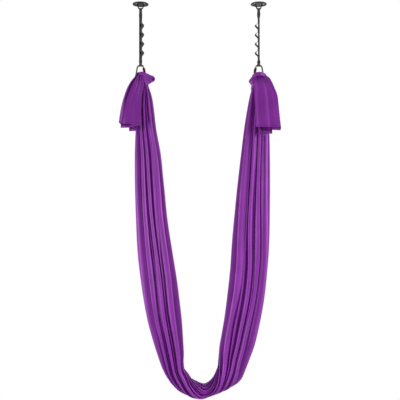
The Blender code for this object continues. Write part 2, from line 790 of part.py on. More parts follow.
def make_knot(word, side):
    rows = LEFT_KNOT_STATIONS_SHARE if side < 0 else RIGHT_KNOT_STATIONS_SHARE
    height = KNOT_RISE + KNOT_FALL
    rings = side_rings(side, rows, KNOT_TOP, height, KNOT_DEPTH, KNOT_SET_FORWARD, 12)
    knot = bundle("knot", rings, KNOT_FOLDS, KNOT_FOLD_SHARE)
    clear = 2 * FIT_GAP
    channel = [at(side, x, 0, z) for x, z in basket_path() + crown_path()[:1]]
    channel.insert(0, gate_point(side, SLEEVE_START))
    tunnel = baked(bent_rod(f"{word}_carabiner_channel", channel, CARABINER_ROD_RADIUS + clear, 3))
    knot = combine(knot, tunnel, "DIFFERENCE")
    slot_half = SLEEVE_RADIUS + GATE_SLOT_CLEARANCE
    reach = SLEEVE_START + SLEEVE_LENGTH + SLEEVE_TRAVEL + GATE_SLOT_CLEARANCE
    closed_end = HINGE_POINT + GATE_DIRECTION * reach
    open_turn = Matrix.Rotation(GATE_OPEN_ANGLE, 3, "Y")
    open_end = HINGE_POINT + open_turn @ (GATE_DIRECTION * reach)
    outer = closed_end.x + slot_half
    inner = open_end.x - slot_half
    floor = min(closed_end.z, open_end.z) - GATE_SLOT_CLEARANCE
    high = KNOT_TOP + 2 * slot_half
    slot = box(
        f"{word}_gate_slot",
        at(side, (outer + inner) / 2, 0, (high + floor) / 2),
        (outer - inner, 2 * slot_half, high - floor),
    )
    knot = combine(knot, slot, "DIFFERENCE")
    keep(knot, f"{word}_silk_knot", own_finish(silk_cloth, f"{word}_knot_tricot"))


def make_tail(word, side):
    rows = LEFT_TAIL_STATIONS_SHARE if side < 0 else RIGHT_TAIL_STATIONS_SHARE
    rings = side_rings(
        side, rows, KNOT_BOTTOM - FIT_GAP, TAIL_DROP, TAIL_DEPTH, TAIL_SET_FORWARD, 14, TAIL_STEP
    )
    tail = bundle("tail", rings, TAIL_FOLDS, TAIL_FOLD_SHARE)
    keep(tail, f"{word}_silk_tail", own_finish(silk_cloth, f"{word}_tail_tricot"))


for side_word, side_sign, strap_twist in SIDES:
    make_plate(side_word, side_sign)
    make_screws(side_word, side_sign)
    make_eye(side_word, side_sign)
    make_strap(side_word, side_sign, strap_twist)
    make_tacks(side_word, side_sign, strap_twist)
    make_frame(side_word, side_sign)
    make_gate(side_word, side_sign)
    make_rivet(side_word, side_sign)
    make_plunger(side_word, side_sign)
    make_spring(side_word, side_sign)
    make_sleeve(side_word, side_sign)
    make_knot(side_word, side_sign)
    make_tail(side_word, side_sign)
make_sling()
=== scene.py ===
"""Dresses the aerial silks: gathered and knotted tricot, sewn straps, carabiners and plates.

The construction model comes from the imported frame. Its soft pieces (cloth, webbing and tacks) are
replaced by finer ones; its steel and alloy pieces keep their shapes and get their finishes.
"""
import math

import bmesh
import bpy
import numpy as np
from bpy.props import FloatProperty, FloatVectorProperty, IntProperty, PointerProperty
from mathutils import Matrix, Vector


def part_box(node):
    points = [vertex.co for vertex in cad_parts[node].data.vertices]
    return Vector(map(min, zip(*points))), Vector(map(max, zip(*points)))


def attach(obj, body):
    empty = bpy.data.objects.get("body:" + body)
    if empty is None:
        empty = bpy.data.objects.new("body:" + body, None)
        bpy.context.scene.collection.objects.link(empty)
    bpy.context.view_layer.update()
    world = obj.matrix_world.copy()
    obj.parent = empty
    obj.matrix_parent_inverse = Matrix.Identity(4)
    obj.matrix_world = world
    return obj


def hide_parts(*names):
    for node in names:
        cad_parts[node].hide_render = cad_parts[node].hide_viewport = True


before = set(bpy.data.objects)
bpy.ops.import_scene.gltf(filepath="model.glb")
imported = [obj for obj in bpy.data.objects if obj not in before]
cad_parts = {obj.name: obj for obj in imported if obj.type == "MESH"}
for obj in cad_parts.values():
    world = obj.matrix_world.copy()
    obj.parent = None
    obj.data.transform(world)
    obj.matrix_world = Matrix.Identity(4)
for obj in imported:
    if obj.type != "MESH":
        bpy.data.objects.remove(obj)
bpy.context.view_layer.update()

bl_info = {
    "name": "Aerial Silks Rig",
    "version": (1, 0, 0),
    "blender": (4, 5, 0),
    "location": "View3D > Sidebar > Silks",
    "description": "Builds a hung aerial sling round its packed construction model",
    "category": "Object",
}

# Measures are in metres, and places read off the photograph are in its pixels. A pixel's size is
# the one in the anchors' plane.

ANCHOR_X = sum(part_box("right_ceiling_plate")[i].x for i in (0, 1)) / 2
PIXEL_SIZE = 0.007
PHOTO_MIDDLE = 200
ORIGIN_PIXEL = (199.65, 3.8)
CAMERA_DISTANCE = 4.28
CAMERA_LENS = 55.0  # mm
CAMERA_SENSOR = 36  # mm
FLOOR_Z = -3.05

# Where along the sling its lowest place and its sharp inner corner lie
SEAT_SHARE = 0.487
CORNER_SHARE = 0.395
SLING_ROWS = 420
SLING_SAMPLES = 600

# The outer and inner edges of the sling, from the left knot round to the right one, as pixel
# across and down for each, and the share of the bundle's depth there
SLING_EDGES = (
    (141.3, 82.0, 147.2, 82.0, 0.46), (140.6, 88.0, 149.2, 88.0, 0.56),
    (138.8, 98.0, 152.2, 98.0, 0.68), (136.8, 111.0, 154.2, 111.0, 0.80),
    (135.4, 130.0, 156.4, 130.0, 0.88), (134.6, 156.0, 161.0, 156.0, 0.95),
    (134.8, 188.0, 164.4, 188.0, 1.00), (135.8, 220.0, 167.6, 220.0, 1.00),
    (137.4, 252.0, 172.2, 250.0, 1.02), (141.0, 284.0, 177.2, 281.0, 1.05),
    (146.2, 316.0, 180.6, 309.0, 1.10), (152.4, 340.0, 182.6, 330.0, 1.16),
    (159.8, 362.0, 183.9, 351.0, 1.24), (167.4, 377.4, 184.1, 366.6, 1.30),
    (176.2, 388.4, 188.4, 374.2, 1.34), (187.0, 395.2, 193.2, 379.6, 1.37),
    (199.6, 398.7, 203.2, 384.0, 1.38), (211.4, 395.6, 209.6, 381.2, 1.38),
    (222.0, 391.6, 214.6, 374.4, 1.36), (232.4, 386.4, 217.4, 366.6, 1.32),
    (240.4, 379.6, 218.4, 357.4, 1.26), (245.6, 369.0, 219.4, 347.0, 1.20),
    (253.2, 351.0, 221.6, 333.4, 1.14), (258.4, 331.4, 224.4, 317.0, 1.08),
    (264.2, 301.0, 227.2, 295.0, 1.04), (267.6, 270.0, 230.0, 269.0, 1.00),
    (269.4, 244.0, 231.8, 244.0, 1.00), (270.0, 215.0, 234.4, 215.0, 0.98),
    (270.2, 185.0, 237.4, 185.0, 0.96), (270.0, 156.0, 240.8, 156.0, 0.90),
    (269.4, 130.0, 244.0, 130.0, 0.84), (267.4, 111.0, 247.0, 111.0, 0.76),
    (263.6, 98.0, 249.4, 98.0, 0.66), (260.2, 88.0, 251.8, 88.0, 0.56),
    (258.6, 82.0, 252.6, 82.0, 0.46),
)


def linear(code):
    """An sRGB hex colour as linear red, green and blue."""
    channels = [int(code[i:i + 2], 16) / 255 for i in (1, 3, 5)]
    return tuple(c / 12.92 if c <= 0.04045 else ((c + 0.055) / 1.055) ** 2.4 for c in channels)


def colour_setting(name, description, code):
    """A colour that the user can change, with its default given as sRGB hex."""
    return FloatVectorProperty(name=name, description=description, subtype="COLOR", size=3,
                               min=0, max=1, default=linear(code))


class SilkClothSettings(bpy.types.PropertyGroup):
    """Sizes and colour of the cloth"""

    sling_depth: FloatProperty(name="Bundle depth", description="Front to back of a gathered leg",
                               default=0.120, min=0.06, max=0.16, unit="LENGTH", subtype="DISTANCE")
    set_back: FloatProperty(name="Set back", description="How far the legs hang behind the anchors",
                            default=0.026, min=0.0, max=0.05, unit="LENGTH", subtype="DISTANCE")
    folds: IntProperty(name="Folds", description="Main folds gathered round a leg",
                       default=13, min=7, max=17)
    colour: colour_setting("Cloth colour", "Dye of the tricot", "#751d8b")
    thread: colour_setting("Hem thread", "Thread that holds the hems", "#3a0b4a")


class SilkStrapSettings(bpy.types.PropertyGroup):
    """Sizes and colours of the daisy-chain straps"""

    pocket_depth: FloatProperty(name="Pocket depth",
                                description="How far a pocket stands out from the load strand",
                                default=0.023, min=0.01, max=0.03, unit="LENGTH",
                                subtype="DISTANCE")
    stitch_passes: IntProperty(name="Stitch passes", description="Passes of thread in a bar tack",
                               default=9, min=5, max=14)
    webbing: colour_setting("Webbing colour", "Yarn of the webbing", "#232324")
    thread: colour_setting("Tack thread", "Thread of the bar tacks", "#6a6a6c")


class SilkHardwareSettings(bpy.types.PropertyGroup):
    """Colours of the plates, carabiners and sleeves"""

    coating: colour_setting("Powder coat", "Coat of the ceiling plates and eyes", "#121211")
    steel: colour_setting("Forged steel", "Body and gate of the carabiners", "#525854")
    plating: colour_setting("Zinc plating", "Screws, rivets, plungers and springs", "#909291")
    sleeve: colour_setting("Sleeve colour", "Anodised screw sleeves", "#430c14")


# Small helpers


def at_pixel(px, py, y=0.0):
    """A place seen at a pixel of the 400 by 400 photograph, y behind the anchors' plane."""
    depth_scale = (CAMERA_DISTANCE + y) / CAMERA_DISTANCE
    camera_z = -(PHOTO_MIDDLE - ORIGIN_PIXEL[1]) * PIXEL_SIZE
    x = (px - ORIGIN_PIXEL[0]) * PIXEL_SIZE
    z = -(py - ORIGIN_PIXEL[1]) * PIXEL_SIZE
    return Vector((x * depth_scale, y, camera_z + (z - camera_z) * depth_scale))


def smooth_rows(rows, shares):
    """Read rows of numbers at many shares of their length through a smooth curve."""
    table = np.array(rows, float)
    last = len(table) - 1
    at = np.clip(np.asarray(shares, float), 0, 1) * last
    low = np.minimum(at.astype(int), last - 1)
    part = (at - low)[:, None]
    a, b, c, d = (table[np.clip(low + step, 0, last)] for step in (-1, 0, 1, 2))
    return 0.5 * (2 * b + (c - a) * part + (2 * a - 5 * b + 4 * c - d) * part**2
                  + (3 * b - a - 3 * c + d) * part**3)


def spline_weights(count, samples):
    """Weights that draw a smooth, never overshooting curve through a row of control points."""
    at = np.linspace(0, count - 1, samples)
    low = np.minimum(at.astype(int), count - 2)
    t = at - low
    weights = np.zeros((samples, count))
    kernel = ((1 - t) ** 3 / 6, (3 * t**3 - 6 * t**2 + 4) / 6,
              (-3 * t**3 + 3 * t**2 + 3 * t + 1) / 6, t**3 / 6)
    for step, part in zip((-1, 0, 1, 2), kernel):
        np.add.at(weights, (np.arange(samples), np.clip(low + step, 0, count - 1)), part)
    return weights


def waves(seed, shares, slow=1.0):
    """A gentle repeatable wander between about -1 and 1."""
    rng = np.random.default_rng(seed)
    total = np.zeros_like(np.asarray(shares, float))
    for size, pace in ((0.55, 2.1), (0.3, 4.7), (0.15, 9.3)):
        total = total + size * np.sin(2 * math.pi * (pace * slow * shares + rng.random()))
    return total


def grid_object(name, rows, closed=False):
    """A quad sheet through rows of points, an array of rows by columns by 3.

    A closed one joins its last column to its first, and points that lie together become one.
    """
    count, width = rows.shape[:2]
    faces = []
    wrap = width if closed else width - 1
    for i in range(count - 1):
        for j in range(wrap):
            k = (j + 1) % width
            faces.append((i * width + j, i * width + k, (i + 1) * width + k, (i + 1) * width + j))
    mesh = bpy.data.meshes.new(name)
    mesh.from_pydata(rows.reshape(-1, 3).tolist(), [], faces)
    if closed:
        form = bmesh.new()
        form.from_mesh(mesh)
        bmesh.ops.remove_doubles(form, verts=form.verts, dist=0.000002)
        bmesh.ops.dissolve_degenerate(form, edges=form.edges, dist=0.000001)
        form.to_mesh(mesh)
        form.free()
    return smooth_object(name, mesh)


def smooth_object(name, mesh):
    """A smooth-shaded object made from a mesh."""
    mesh.shade_smooth()
    obj = bpy.data.objects.new(name, mesh)
    bpy.context.scene.collection.objects.link(obj)
    return obj


def add_node(tree, kind, settings=None, links=None):
    """Add a node, set its stops, properties or inputs, and join its inputs to other sockets."""
    made = tree.nodes.new(kind)
    for key, value in (settings or {}).items():
        if key == "stops":
            for stop, (place, colour) in zip(made.color_ramp.elements, value):
                stop.position = place
                stop.color = (*colour, 1)
        elif isinstance(key, int) or key in made.inputs:
            made.inputs[key].default_value = value
        else:
            setattr(made, key, value)
    for key, socket in (links or {}).items():
        tree.links.new(socket, made.inputs[key])
    return made


def new_material(name, settings):
    """A material with one Principled shader, whose constant values sit on its own sockets."""
    made = bpy.data.materials.new(name)
    made.use_nodes = True
    tree = made.node_tree
    shader = tree.nodes["Principled BSDF"]
    for key, value in settings.items():
        shader.inputs[key].default_value = value
    return made, tree, shader


def toned(colour, share):
    """A colour made lighter or darker."""
    return tuple(min(1, channel * share) for channel in colour)


def tone_and_relief(tree, shader, mottle, relief, colour, stops, strength, height):
    """Let the mottle texture vary a finish's colour and the relief texture raise its surface.

    A stop is a place along the mottle and how many times as light the colour is there.
    """
    stops = [(place, toned(colour, share)) for place, share in stops]
    tone = add_node(tree, "ShaderNodeValToRGB", {"stops": stops}, {"Fac": mottle.outputs["Fac"]})
    tree.links.new(tone.outputs["Color"], shader.inputs["Base Color"])
    bump = add_node(tree, "ShaderNodeBump", {"Strength": strength, "Distance": height},
                    {"Height": relief.outputs["Fac"]})
    tree.links.new(bump.outputs["Normal"], shader.inputs["Normal"])


def dress(node, made):
    """Give a carried-over construction node its finish."""
    obj = bpy.data.objects[node]
    obj.data.materials.clear()
    obj.data.materials.append(made)


# Materials

# A wave texture's bands are pi / 10 of a metre apart at scale 1: divided by a width in mm this
# gives the scale for bands of that width
WAVE_SCALE = 100 * math.pi


def nylon_tricot(name="dyed_nylon_tricot", painted_shade=1.0):
    """Dyed nylon tricot, warp knitted: a soft satin that lightens on the ridges of its folds.

    A shade below 1 is painted shade: it darkens the colour and dims the specular and sheen, for
    cloth that hangs in shade.
    """
    # Painted shade: a shade below 1 darkens the dye here and dims the specular and sheen below
    tint = toned(bpy.context.scene.silk_cloth.colour, painted_shade)
    made, tree, shader = new_material(name, {
        "Roughness": 0.48,
        "Specular IOR Level": 0.8 * painted_shade**2,
        "Specular Tint": (0.90, 0.50, 1.0, 1),
        "Sheen Weight": 0.10 * painted_shade,
        "Sheen Roughness": 0.45,
        "Sheen Tint": (0.72, 0.30, 0.90, 1),
    })
    # The knit's wales are 0.35 mm apart, drawn 3 mm apart so that they show. The dye is uneven
    # over patches as wide as a hand.
    wale_mm = 3.0
    patch_mm = 110.0
    place = add_node(tree, "ShaderNodeTexCoord")
    cloud = add_node(tree, "ShaderNodeTexNoise", {"Scale": 1000 / patch_mm, "Detail": 3.0},
                     {"Vector": place.outputs["Object"]})
    knit = add_node(tree, "ShaderNodeTexNoise", {"Scale": 1000 / wale_mm, "Detail": 2.0},
                    {"Vector": place.outputs["Object"]})
    tone_and_relief(tree, shader, cloud, knit, tint, ((0.3, 0.86), (0.7, 1.12)), 0.12, 0.0006)
    return made


def powder_coated_steel():
    """Powder-coated mild steel: near black, with a fine orange-peel that softens its highlights."""
    coat = bpy.context.scene.silk_hardware.coating
    made, tree, shader = new_material("powder_coated_steel",
                                      {"Roughness": 0.62, "Specular IOR Level": 0.18})
    place = add_node(tree, "ShaderNodeTexCoord")
    peel_mm = 1.2
    peel = add_node(tree, "ShaderNodeTexNoise", {"Scale": 1000 / peel_mm, "Detail": 3.0},
                    {"Vector": place.outputs["Object"]})
    tone_and_relief(tree, shader, peel, peel, coat, ((0, 0.6), (1, 1.9)), 0.25, 0.0004)
    return made


def brushed_metal(name, colour, roughness, grain_mm):
    """Bare metal with a drawn grain: soft streaks of light along its length."""
    made, tree, shader = new_material(name, {"Roughness": roughness, "Metallic": 1.0})
    place = add_node(tree, "ShaderNodeTexCoord")
    stretch = add_node(tree, "ShaderNodeMapping", {"Scale": (1.0, 1.0, 0.15)},
                       {"Vector": place.outputs["Object"]})
    grain = add_node(tree, "ShaderNodeTexNoise", {"Scale": 1000 / grain_mm, "Detail": 4.0},
                     {"Vector": stretch.outputs["Vector"]})
    tone_and_relief(tree, shader, grain, grain, colour, ((0.25, 0.62), (0.75, 1.45)), 0.1, 0.0002)
    return made


def forged_steel():
    """Drop-forged, tumbled steel with a clear zinc finish: grey with a faint green cast."""
    return brushed_metal("forged_steel", bpy.context.scene.silk_hardware.steel, 0.48, 4.0)


def zinc_plated_steel():
    """Bright zinc plating on small turned fasteners: pale grey, with a small soft glint."""
    return brushed_metal("zinc_plated_steel", bpy.context.scene.silk_hardware.plating, 0.36, 2.0)


def red_anodised_aluminium():
    """Dark red anodised aluminium: dyed oxide on a barrel whose crossed knurl breaks its glint."""
    dye = bpy.context.scene.silk_hardware.sleeve
    made = brushed_metal("red_anodised_aluminium", dye, 0.44, 1.5)
    tree = made.node_tree
    # A knurl's ridges are 1 mm apart, drawn 2.4 mm apart so that they show
    knurl_mm = 2.4
    place = add_node(tree, "ShaderNodeTexCoord")
    ridges = []
    for lean in (-0.9, 0.9):
        turned = add_node(tree, "ShaderNodeMapping", {"Rotation": (0, lean, 0)},
                          {"Vector": place.outputs["Object"]})
        ridges.append(add_node(tree, "ShaderNodeTexWave", {
            "wave_type": "BANDS", "bands_direction": "X", "Scale": WAVE_SCALE / knurl_mm,
            "Detail": 0.0,
        }, {"Vector": turned.outputs["Vector"]}))
    both = add_node(tree, "ShaderNodeMath", {"operation": "MULTIPLY"},
                    {0: ridges[0].outputs["Fac"], 1: ridges[1].outputs["Fac"]})
    bump = add_node(tree, "ShaderNodeBump", {"Strength": 0.8, "Distance": 0.0008},
                    {"Height": both.outputs[0]})
    tree.links.new(bump.outputs["Normal"], tree.nodes["Principled BSDF"].inputs["Normal"])
    return made


def polyester_webbing():
    """Woven polyester webbing: matt black yarn in twill ribs, raised by a bump, whose crests are
    painted lighter in short bars as painted highlight.
    """
    yarn = bpy.context.scene.silk_strap.webbing
    made, tree, shader = new_material("polyester_webbing", {"Roughness": 0.85, "Sheen Weight": 0.12,
                                                            "Sheen Roughness": 0.5})
    # A rib is 1.2 mm high, drawn 4.5 mm high so that it shows
    rib_mm = 4.5
    place = add_node(tree, "ShaderNodeTexCoord")
    rib = add_node(tree, "ShaderNodeTexWave", {
        "wave_type": "BANDS", "bands_direction": "Z", "Scale": WAVE_SCALE / rib_mm,
        "Distortion": 0.8, "Detail": 2.0, "Detail Scale": 3.0,
    }, {"Vector": place.outputs["Object"]})
    # The rib crests are painted up to 2.4 times as light as the yarn: a painted highlight on a real
    # bump
    tone_and_relief(tree, shader, rib, rib, yarn, ((0, 0.35), (1, 2.4)), 0.8, 0.0012)
    return made


def twisted_thread(name, colour, roughness):
    """Twisted polyester thread: small light and dark beads along its ply."""
    made, tree, shader = new_material(name, {"Roughness": roughness, "Specular IOR Level": 0.3})
    place = add_node(tree, "ShaderNodeTexCoord")
    # The ply's twist is 0.4 mm long, drawn 1.5 mm long so that it shows
    ply_mm = 1.5
    ply = add_node(tree, "ShaderNodeTexNoise", {"Scale": 1000 / ply_mm, "Detail": 2.0},
                   {"Vector": place.outputs["Object"]})
    tone = add_node(tree, "ShaderNodeValToRGB",
                    {"stops": ((0, toned(colour, 0.6)), (1, toned(colour, 1.5)))},
                    {"Fac": ply.outputs["Fac"]})
    tree.links.new(tone.outputs["Color"], shader.inputs["Base Color"])
    return made


def sewing_thread():
    """Spun polyester sewing thread, dyed a shade darker than the cloth: matt."""
    return twisted_thread("sewing_thread", bpy.context.scene.silk_cloth.thread, 0.8)


def bonded_thread():
    """Bonded polyester thread: grey, a little glossier than the webbing that it is sewn into."""
    return twisted_thread("bonded_thread", bpy.context.scene.silk_strap.thread, 0.5)


# Cloth

# One main fold of the gathered sling and the small one beside it: share of the way to the next
# main fold, and how far out from the bundle's core.
FOLD_PROFILE = (
    (0.00, 0.02), (0.06, 0.66), (0.16, 0.94), (0.30, 1.03),
    (0.44, 1.03), (0.57, 0.92), (0.66, 0.62), (0.72, 0.06),
    (0.79, 0.62), (0.86, 0.84), (0.94, 0.62),
)
# The valley between the main fold and the small one, which closes where the two merge
INNER_VALLEY = 7
# The folds are pressed smoothly against the bundle's outline from this share of it
PRESSED_FROM = 0.88


def bulge(share, centre, width):
    """A smooth rise to 1 at the centre, which falls off over the width to each side."""
    return np.exp(-((share - centre) / width) ** 2)


def creases(share, along, seed, lines, slanted):
    """Fine sharp creases (-2 to 0) down a sheet, with slanting ones where slanted rises."""
    rng = np.random.default_rng(seed)
    total = np.zeros((len(share), len(along)))
    for size, many in ((0.5, lines), (0.3, 1.9 * lines), (0.2, 3.3 * lines)):
        wander = 0.5 * waves(seed + int(many), share, 1.4)[:, None]
        phase = math.pi * (many * along[None] + wander + rng.random())
        total -= size * (1 - np.abs(np.sin(phase)) ** 0.7)
    slant = math.pi * (9 * along[None] + 62 * share[:, None] + 0.8 * waves(seed, share)[:, None])
    patch = 0.55 + waves(seed + 2, along * 3)[None] + 0.5 * waves(seed + 3, share)[:, None]
    patch = np.clip(patch, 0, 1)
    return total - slanted[:, None] * patch * (1 - np.abs(np.sin(slant)) ** 0.6)


def gathered_rows(place, across, through, seed, folds, turn, depth_share, crease_share, slanted,
                  samples):
    """Rows of a sheet gathered into a bundle, with folds along it that stand out from its core.

    place is its middle line, across and through its half width and depth, and turn rolls it.
    """
    share = np.linspace(0, 1, len(place))
    rng = np.random.default_rng(seed)
    # Wider folds in front, where the cloth is smoothed by hand, and narrower ones behind
    round_bundle = 2 * math.pi * (np.arange(folds) + 0.5) / folds
    widths = rng.uniform(0.70, 1.30, folds) * (1 - 0.40 * np.cos(round_bundle))
    starts = np.concatenate([[0], np.cumsum(widths)])[:-1] / widths.sum()
    widths = widths / widths.sum()
    controls = []
    for fold in range(folds):
        shift = 0.20 * waves(seed + 31 * fold, share, 0.8) / folds
        height = 1 - 0.13 * (1 + waves(seed + 57 * fold, share, 1.1)) * rng.uniform(0.2, 1.0)
        small = rng.uniform(0.7, 1.25) + 0.25 * waves(seed + 83 * fold, share, 1.3)
        lean = 0.05 * waves(seed + 19 * fold, share, 0.9)
        merged = np.clip(0.22 + 0.70 * waves(seed + 101 * fold, share, 0.7), 0, 0.7)
        for index, (step, out) in enumerate(FOLD_PROFILE):
            leaning = step + lean * (out > 0.9)
            angle = 2 * math.pi * (starts[fold] + leaning * widths[fold] + shift)
            reach = out * (small if index > INNER_VALLEY else height if out > 0.5 else 1)
            if index == INNER_VALLEY:
                reach = merged
            facing = 0.5 - 0.5 * np.sin(angle + 0.5 * math.pi + turn)
            reach = 1 - (1 - reach) * depth_share * (1 - 0.30 * facing)
            controls.append(np.stack([reach * np.cos(angle), reach * np.sin(angle)], 1))
    weights = spline_weights(len(controls), samples)
    flat = np.einsum("tc,csk->stk", weights, np.array(controls))
    along = np.linspace(0, 1, samples)
    creased = creases(share, along, seed + 7, 2.3 * folds, slanted)
    flat *= (1 + crease_share[:, None] * creased)[..., None]
    out = np.linalg.norm(flat, axis=2)
    room = 1 - PRESSED_FROM
    pressed = PRESSED_FROM + room * np.tanh((out - PRESSED_FROM) / room)
    flat *= np.where(out > PRESSED_FROM, pressed / np.maximum(out, 0.01), 1)[..., None]
    start = 0.5 * math.pi + turn
    cos, sin = np.cos(start)[:, None], np.sin(start)[:, None]
    x = flat[..., 0] * cos - flat[..., 1] * sin
    y = flat[..., 0] * sin + flat[..., 1] * cos
    for way in (1, -1):
        widest = (way * x).max(axis=1)
        widest = np.convolve(np.pad(widest, 6, "edge"), np.full(13, 1 / 13), "valid")
        x = np.where(way * x > 0, x / widest[:, None], x)
    return place[:, None] + x[..., None] * across[:, None] + y[..., None] * through[:, None]


class SILK_OT_sling(bpy.types.Operator):
    """The sling between the knots: one wide sheet of tricot gathered into deep folds"""

    bl_idname = "silk.sling"
    bl_label = "Sling cloth"

    def execute(self, context):
        size = context.scene.silk_cloth
        share = np.linspace(0, 1, SLING_ROWS)
        edges = smooth_rows(SLING_EDGES, share)
        outer, inner = (np.array([at_pixel(*pixel, size.set_back) for pixel in edge])
                        for edge in (edges[:, :2], edges[:, 2:4]))
        depth = edges[:, 4]
        place = (outer + inner) / 2
        across = (outer - inner) / 2
        half_depth = size.sling_depth * depth / 2
        through = np.stack([np.zeros_like(share), half_depth, np.zeros_like(share)], 1)
        seat = bulge(share, SEAT_SHARE, 0.05)
        corner = bulge(share, CORNER_SHARE, 0.03)
        neck = 1.15 * bulge(share, 0, 0.12) + bulge(share, 1, 0.08)
        # The bundle rolls over at its seat and a little where it leaves the left knot
        turn = 0.7 * bulge(share, SEAT_SHARE, 0.12) + 1.3 * seat + 0.15 * waves(5, share)
        turn = turn + 0.55 * bulge(share, 0, 0.10)
        # Folds are shallow and creases deep where the cloth is pulled tight
        depth_share = 1.0 - 0.52 * bulge(share, SEAT_SHARE, 0.10) - 0.42 * neck
        crease_share = 0.025 + 0.06 * seat + 0.03 * neck + 0.03 * corner
        rows = gathered_rows(place, across, through, 11, size.folds, turn, depth_share,
                             crease_share, seat + corner, SLING_SAMPLES)
        cloth = grid_object("sling_cloth", rows)
        cloth.data.materials.append(nylon_tricot())
        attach(cloth, "hammock")
        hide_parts("silk_sling")
        return {"FINISHED"}


# Each tail: its outline as pixel down and pixel across at its left and right edge; for each front
# layer the pixel down of its hem at its left and right end, and how many pixels these ends lie
# inside the outline; and the grooves, as place across from -1 to 1, width, depth in metres and how
# far down the tail they fade.
TAILS = {
    "left": {
        "outline": (
            (70.4, 138.2, 141.4), (75.0, 136.2, 142.6), (80.0, 131.8, 144.0),
            (87.0, 127.6, 143.4), (95.0, 124.6, 142.0), (104.0, 122.0, 141.4),
            (114.0, 120.1, 141.0), (124.6, 118.7, 140.7),
        ),
        "hems": ((122.9, 124.9), (127.8, 127.6), (127.4, 127.5), (131.2, 130.8), (130.4, 130.0)),
        "insets": ((0, 0), (1.8, 11.0), (2.3, 8.4), (10.3, 4.6), (10.9, 5.6)),
        "grooves": (
            (-0.70, 0.12, 0.020, 0.85), (0.18, 0.12, 0.016, 0.36), (-0.24, 0.12, 0.011, 0.32),
            (0.60, 0.13, 0.012, 0.62), (-0.05, 0.09, 0.003, 0.9),
        ),
        "seed": 3,
    },
    "right": {
        "outline": (
            (73.5, 255.2, 263.5), (77.5, 254.4, 269.4), (82.0, 254.3, 272.2),
            (88.0, 254.3, 274.9), (95.0, 254.1, 277.6), (104.0, 254.7, 278.8),
            (115.0, 255.2, 279.9), (127.0, 255.6, 281.3),
        ),
        "hems": ((126.6, 127.3), (129.5, 130.3), (133.1, 133.8), (136.8, 131.4)),
        "insets": ((0, 0), (9.6, 0.7), (7.5, 8.9), (7.7, 10.4)),
        "grooves": (
            (-0.62, 0.13, 0.005, 0.30), (-0.10, 0.15, 0.004, 0.34), (0.42, 0.14, 0.005, 0.50),
            (0.72, 0.12, 0.006, 0.75), (-0.35, 0.10, 0.002, 0.9), (0.10, 0.10, 0.002, 0.9),
        ),
        "seed": 8,
    },
}
TAIL_LAYERS = 19
TAIL_ROWS = 170
TAIL_SAMPLES = 1200
# Rows of a tail between which its inner layers get a painted shadow of the front layer, and the row
# that the stitches follow
PAINTED_SHADOW_ROWS = (148, 163)
HEM_ROW = 164
# How far the front layer lies before the anchors' plane at its top, and how much more lower down
TAIL_FRONT = -0.056
TAIL_FORWARD = -0.036
# How far behind the front layer each layer of a tail's hem hangs
FANNED = (0.0, 0.013, 0.014, 0.026, 0.027, 0.036)


def tail_rows(outline, hems, insets, grooves, seed):
    """Rows of a tail folded to and fro in flat layers, each with its own hem height."""
    share = np.linspace(0, 1, TAIL_ROWS)
    height, left, right = smooth_rows(outline, share).T
    middle, half = (left + right) / 2, (right - left) / 2
    rng = np.random.default_rng(seed)
    drawn = np.clip(share / 0.32, 0, 1)
    drawn = drawn * drawn * (3 - 2 * drawn)
    front = TAIL_FRONT + TAIL_FORWARD * drawn
    low = outline[-1][0]
    controls = []
    for layer in range(TAIL_LAYERS):
        hem = hems[layer] if layer < len(hems) else rng.uniform(low - 3.0, low + 0.2, 2)
        if layer < len(insets):
            inset = insets[layer]
        else:
            inset = (rng.uniform(0.4, 3.0), rng.uniform(0.2, 2.5))
        points = []
        for way in (-1.0, -0.985, *np.linspace(-0.93, 0.93, 24), 0.985, 1.0):
            near_end = abs(way) > 0.96
            keep = (1 - way) / 2 * inset[0] - (1 + way) / 2 * inset[1]
            x_pixel = middle + way * half + keep * share**0.8
            place = (x_pixel - middle) / half
            fold = np.zeros_like(share)
            for where, wide, deep, fade in grooves:
                fold += deep * bulge(place, where, wide) * bulge(share, 0, fade)
            fold += 0.0022 * folded(1.20 * place + 0.05 + 0.12 * waves(seed + 4, share, 0.4))
            fold += 0.0007 * folded(4.3 * place + 0.65 + 0.15 * waves(seed + 9, share, 0.6))
            curl = 0.018 if layer else 0.004
            fold += curl * np.clip((share - 0.93) / 0.07, 0, 1) ** 2 - 0.0016 * (share > 0.972)
            spread = np.clip((share - 0.55) / 0.35, 0, 1) ** 2
            stacked = (0.030 + 0.024 * drawn) * layer / (TAIL_LAYERS - 1)
            fanned = FANNED[min(layer, len(FANNED) - 1)] + 0.0006 * layer
            tuck = np.clip(1 - share / 0.09, 0, 1) ** 2
            y = front + stacked * (1 - spread) + fanned * spread
            y = y + fold * (0.75 + 0.25 * drawn) + 0.010 * tuck
            if near_end:
                y = y + 0.0011 * (1 if (way > 0) == (layer % 2 == 0) else -1)
            hem_here = (1 - way) / 2 * hem[0] + (1 + way) / 2 * hem[1]
            lowered = np.clip((share - 0.25) / 0.75, 0, 1) ** 1.3
            z_pixel = height + (hem_here - low) * lowered + 2.4 * tuck
            points.append(np.stack([
                np.array([at_pixel(px, 0, depth).x for px, depth in zip(x_pixel, y)]), y,
                np.array([at_pixel(0, py, depth).z for py, depth in zip(z_pixel, y)]),
            ], 1))
        controls += points if layer % 2 == 0 else points[::-1]
    weights = spline_weights(len(controls), TAIL_SAMPLES)
    return np.einsum("tc,csk->stk", weights, np.array(controls))


